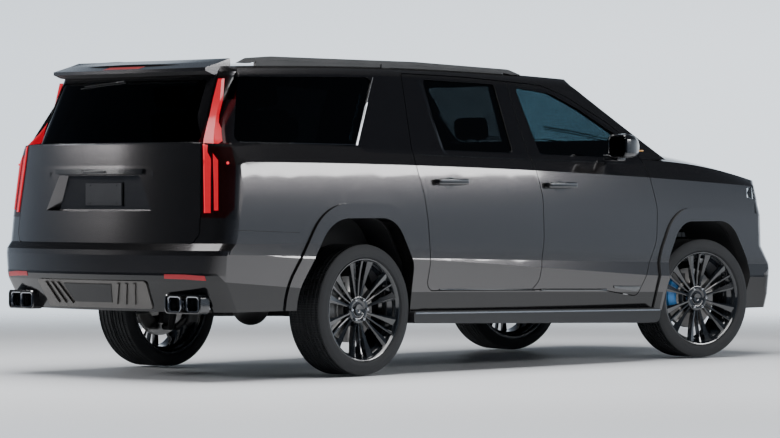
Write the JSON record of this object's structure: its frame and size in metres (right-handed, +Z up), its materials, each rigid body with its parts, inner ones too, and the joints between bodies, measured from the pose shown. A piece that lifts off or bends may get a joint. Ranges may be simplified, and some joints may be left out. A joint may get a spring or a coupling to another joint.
{
  "type": "four-door suv",
  "caption": "Full-size suv on a ladder frame, with steered and rolling wheels, hinged side doors, a lifting tailgate and a hood, a glazed hollow cabin and roof rails.",
  "frame": {"origin": "on the ground, half way along the length, on the middle plane", "axes": "+X forward along the length, +Y to the vehicle's left, +Z up"},
  "size_m": [5.7897, 2.3958, 1.972],
  "materials": {
    "paint": "satin metallic",
    "black_gloss": "gloss",
    "black_plastic": "satin",
    "dark_glass": "tinted",
    "clear_glass": "clear",
    "lamp_red": "gloss",
    "lamp_clear": "clear",
    "rim": "gloss black",
    "tyre": "matte",
    "iron": "rough",
    "frame": "satin black",
    "steel": "brushed",
    "leather": "soft",
    "liner": "matte"
  },
  "bodies": {
    "chassis": {"body_side_left": "paint", "body_side_right": "paint", "roof_panel": "paint", "windscreen": "clear_glass", "firewall": "black_plastic", "front_fenders": "paint", "front_bumper": "paint", "head_lamps": "lamp_clear", "grille": "black_gloss", "rear_bumper": "paint", "tail_lamps": "lamp_red", "quarter_glass": "dark_glass", "roof_rails": "black_gloss", "running_boards": "black_gloss", "wheel_liners": "liner", "floor_pan": "frame", "ladder_frame": "frame", "engine_block": "iron", "suspension_arms": "iron", "drive_line": "iron", "rear_knuckles": "iron", "front_seats": "leather", "middle_seats": "leather", "rear_seats": "leather", "dashboard": "leather", "steering_wheel": "leather", "exhaust": "steel", "centre_pillars": "liner", "rear_skid_plate": "black_plastic"},
    "tailgate": {"tailgate": "paint", "tailgate_glass": "dark_glass", "roof_spoiler": "paint", "gate_handle": "black_gloss"},
    "hood": {"hood": "paint"},
    "front_door_right": {"front_door_right": "paint", "front_door_glass_right": "clear_glass", "mirror_right": "black_gloss"},
    "rear_door_right": {"rear_door_right": "paint", "rear_door_glass_right": "dark_glass"},
    "steering_right": {"steering_knuckle_right": "iron"},
    "front_wheel_right": {"front_wheel_right": "rim", "front_tyre_right": "tyre"},
    "rear_wheel_right": {"rear_wheel_right": "rim", "rear_tyre_right": "tyre"},
    "front_door_left": {"front_door_left": "paint", "front_door_glass_left": "clear_glass", "mirror_left": "black_gloss"},
    "rear_door_left": {"rear_door_left": "paint", "rear_door_glass_left": "dark_glass"},
    "steering_left": {"steering_knuckle_left": "iron"},
    "front_wheel_left": {"front_wheel_left": "rim", "front_tyre_left": "tyre"},
    "rear_wheel_left": {"rear_wheel_left": "rim", "rear_tyre_left": "tyre"}
  },
  "joints": [
    {"name": "steer_right", "type": "hinge", "parent": "chassis", "child": "steering_right", "pos_m": [1.927, -0.8, 0.412], "axis": [0, 0, 1], "range_deg": [-21.5, 46.5]},
    {"name": "front_wheel_right_spin", "type": "hinge", "parent": "steering_right", "child": "front_wheel_right", "pos_m": [1.91185, -0.86834, 0.412], "axis": [0.2164, 0.9763, 0], "continuous": true},
    {"name": "rear_wheel_right_spin", "type": "hinge", "parent": "chassis", "child": "rear_wheel_right", "pos_m": [-1.48, -0.87, 0.412], "axis": [0, 1, 0], "continuous": true},
    {"name": "front_door_right_hinge", "type": "hinge", "parent": "chassis", "child": "front_door_right", "pos_m": [1.388, -1.0205, 0.85], "axis": [0, 0, 1], "range_deg": [0, 65]},
    {"name": "rear_door_right_hinge", "type": "hinge", "parent": "chassis", "child": "rear_door_right", "pos_m": [0.202, -1.0205, 0.85], "axis": [0, 0, 1], "range_deg": [0, 65]},
    {"name": "steer_left", "type": "hinge", "parent": "chassis", "child": "steering_left", "pos_m": [1.927, 0.8, 0.412], "axis": [0, 0, 1], "range_deg": [-21.5, 46.5]},
    {"name": "front_wheel_left_spin", "type": "hinge", "parent": "steering_left", "child": "front_wheel_left", "pos_m": [1.94215, 0.86834, 0.412], "axis": [0.2164, 0.9763, 0], "continuous": true},
    {"name": "rear_wheel_left_spin", "type": "hinge", "parent": "chassis", "child": "rear_wheel_left", "pos_m": [-1.48, 0.87, 0.412], "axis": [0, 1, 0], "continuous": true},
    {"name": "front_door_left_hinge", "type": "hinge", "parent": "chassis", "child": "front_door_left", "pos_m": [1.388, 1.0205, 0.85], "axis": [0, 0, -1], "range_deg": [0, 65]},
    {"name": "rear_door_left_hinge", "type": "hinge", "parent": "chassis", "child": "rear_door_left", "pos_m": [0.202, 1.0205, 0.85], "axis": [0, 0, -1], "range_deg": [0, 65]},
    {"name": "tailgate_hinge", "type": "hinge", "parent": "chassis", "child": "tailgate", "pos_m": [-2.319, 0, 1.937], "axis": [0, 1, 0], "range_deg": [0, 85]},
    {"name": "hood_hinge", "type": "hinge", "parent": "chassis", "child": "hood", "pos_m": [1.648, 0, 1.468], "axis": [0, -1, 0], "range_deg": [0, 50]}
  ],
  "couplings": [
    {"joint": "steer_left", "follows": "steer_right", "ratio": 1}
  ]
}
